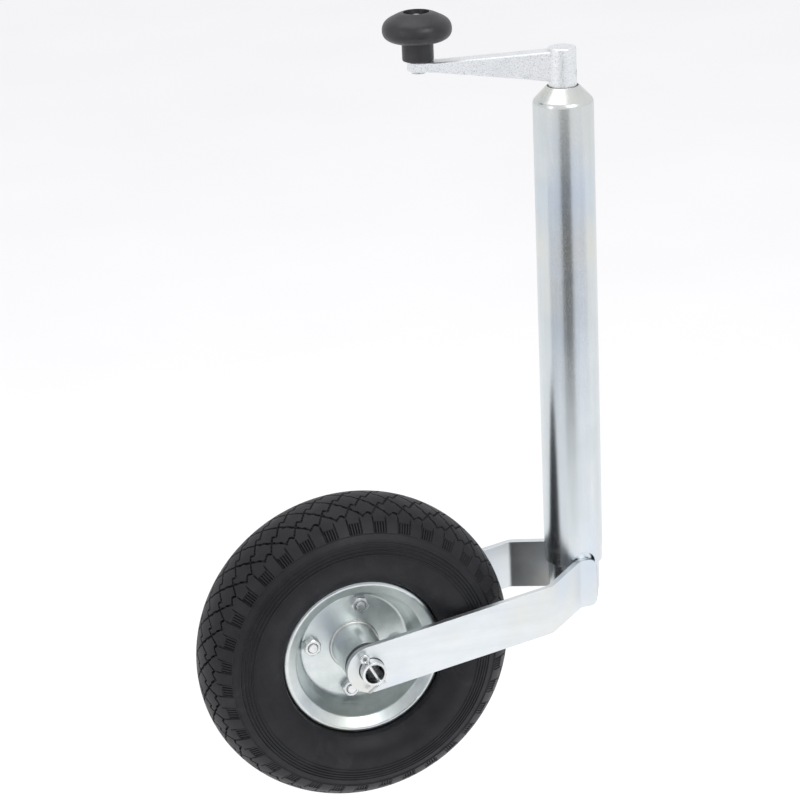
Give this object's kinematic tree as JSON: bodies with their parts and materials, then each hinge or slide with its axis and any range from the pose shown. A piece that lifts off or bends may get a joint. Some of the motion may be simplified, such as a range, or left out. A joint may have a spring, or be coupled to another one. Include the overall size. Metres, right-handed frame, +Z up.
{
  "type": "trailer jockey wheel",
  "caption": "Crank-raised trailer nose support: a round clamp tube with a screw inside, carrying a welded fork and a pneumatic wheel on a stamped steel rim.",
  "frame": {"origin": "on the outer tube's axis, where its plain 48 mm wall starts, 12.5 mm above its notched lower end", "axes": "+Z up along the tube, towards the crank; the wheel stands towards -X; the wheel's axle lies along Y"},
  "size_m": [0.3461, 0.145, 0.6315],
  "materials": {
    "outer_tube_zinc": "bright zinc plate, smooth and glossy",
    "inner_tube_zinc": "bright zinc plate, drawn tube",
    "fork_zinc": "zinc plate with a faint blue and yellow tint",
    "weld_metal": "rippled weld bead, plated over",
    "rim_zinc": "zinc plate, satin",
    "fastener_zinc": "zinc plate",
    "crank_galvanised": "forged, galvanised, grainy",
    "bare_steel": "turned steel, greased",
    "knob_plastic": "satin black moulded plastic",
    "tyre_rubber": "black rubber",
    "air_tube_rubber": "black butyl rubber",
    "valve_brass": "plated brass",
    "valve_cap_plastic": "black moulded plastic",
    "bush_plastic": "dark bearing plastic"
  },
  "bodies": {
    "outer_tube": {"outer_tube": "outer_tube_zinc", "head_bush": "inner_tube_zinc", "thrust_race_upper": "bare_steel"},
    "crank": {"crank_handle": "crank_galvanised", "crank_pin": "bare_steel", "spindle": "bare_steel", "spindle_collar": "bare_steel", "thrust_race_lower": "bare_steel", "thrust_balls": "bare_steel", "knob_rivet": "bare_steel"},
    "knob": {"knob": "knob_plastic"},
    "lower_leg": {"inner_tube": "inner_tube_zinc", "spindle_nut": "bare_steel", "fork_arm_near": "fork_zinc", "fork_arm_far": "fork_zinc", "fork_weld_near": "weld_metal", "fork_weld_far": "weld_metal", "axle": "fastener_zinc", "axle_washer_near": "fastener_zinc", "axle_washer_far": "fastener_zinc", "split_pin_near": "fastener_zinc", "split_pin_far": "fastener_zinc"},
    "wheel": {"tyre": "tyre_rubber", "air_tube": "air_tube_rubber", "valve_stem": "valve_brass", "valve_cap": "valve_cap_plastic", "rim_near": "rim_zinc", "rim_far": "rim_zinc", "rim_bolts": "fastener_zinc", "rim_nuts": "fastener_zinc", "hub_tube": "rim_zinc", "hub_weld_near": "weld_metal", "hub_weld_far": "weld_metal", "hub_bush_near": "bush_plastic", "hub_bush_far": "bush_plastic"}
  },
  "joints": [
    {"name": "crank_turn", "type": "hinge", "parent": "outer_tube", "child": "crank", "pos_m": [0, 0, 0.39], "axis": [0, 0, -1], "range_deg": [0, 21600]},
    {"name": "knob_spin", "type": "hinge", "parent": "crank", "child": "knob", "pos_m": [-0.09971, 0.05527, 0.41], "axis": [0, 0, 1], "continuous": true},
    {"name": "lift", "type": "slide", "parent": "outer_tube", "child": "lower_leg", "axis": [0, 0, -1], "range_m": [0, 0.24]},
    {"name": "wheel_spin", "type": "hinge", "parent": "lower_leg", "child": "wheel", "pos_m": [-0.1922, 0, -0.0575], "axis": [0, 1, 0], "continuous": true}
  ],
  "couplings": [
    {"joint": "lift", "follows": "crank_turn", "m_per_rad": 0.00063662}
  ]
}
